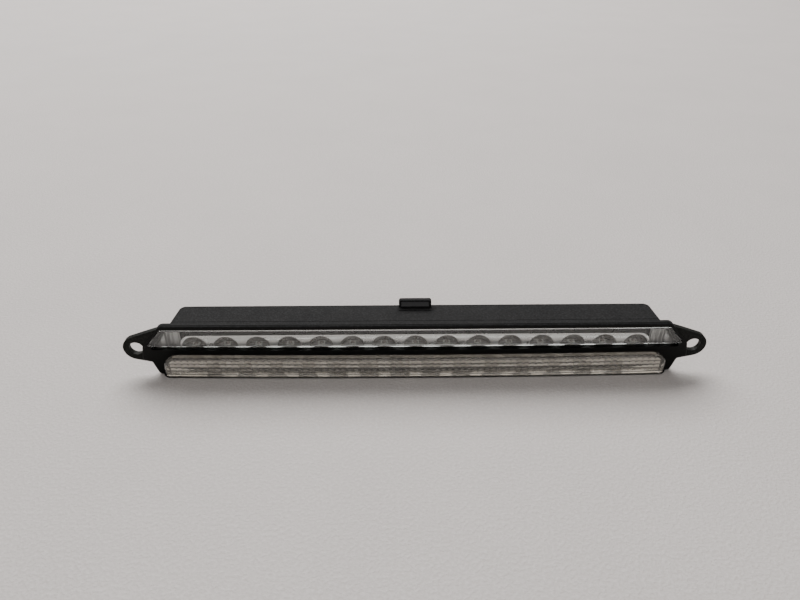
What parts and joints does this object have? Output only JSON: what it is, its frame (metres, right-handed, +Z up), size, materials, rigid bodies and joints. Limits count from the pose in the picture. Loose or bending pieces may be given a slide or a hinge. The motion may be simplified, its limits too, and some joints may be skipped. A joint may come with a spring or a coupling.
{
  "type": "high-mount stop lamp",
  "caption": "Slim high-mount stop lamp: black housing and bezel with an ear at each end, a clear upper lens over cup reflectors and a pillowed clear lower lens.",
  "frame": {"origin": "under the middle of the whole lamp, on the plane that it lies on", "axes": "+X along the lamp, -Y out of the lenses, +Z up"},
  "size_m": [0.2956, 0.0288, 0.0346],
  "materials": {
    "housing": "fine moulded grain, dark grey",
    "bezel": "satin black, slightly grained ears",
    "upper_lens": "clear, polished",
    "lower_lens": "clear, pillow optics",
    "rubber": "matt",
    "mirror": "metallised",
    "board": "solder mask",
    "led": "white package with a clear dome",
    "metal": "plated",
    "component": "moulded package"
  },
  "bodies": {
    "root": {"rear_housing": "housing", "front_bezel": "bezel", "upper_lens": "upper_lens", "lower_lens": "lower_lens", "upper_reflector": "mirror", "lower_reflector": "mirror", "level_board": "board", "upright_board": "board", "upper_led_01": "led", "upper_led_02": "led", "upper_led_03": "led", "upper_led_04": "led", "upper_led_05": "led", "upper_led_06": "led", "upper_led_07": "led", "upper_led_08": "led", "upper_led_09": "led", "upper_led_10": "led", "upper_led_11": "led", "upper_led_12": "led", "upper_led_13": "led", "upper_led_14": "led", "upper_led_15": "led", "lower_led_01": "led", "lower_led_02": "led", "lower_led_03": "led", "lower_led_04": "led", "lower_led_05": "led", "lower_led_06": "led", "lower_led_07": "led", "lower_led_08": "led", "lower_led_09": "led", "lower_led_10": "led", "lower_led_11": "led", "lower_led_12": "led", "lower_led_13": "led", "lower_led_14": "led", "level_board_screw_left": "metal", "upright_board_screw_left": "metal", "terminal_left": "metal", "level_board_screw_right": "metal", "upright_board_screw_right": "metal", "terminal_right": "metal", "connector_socket": "bezel", "connector_seal": "rubber", "board_link": "component", "regulator": "component", "reverse_diode": "component", "resistor_1": "component", "resistor_2": "component", "resistor_3": "component"}
  },
  "joints": []
}
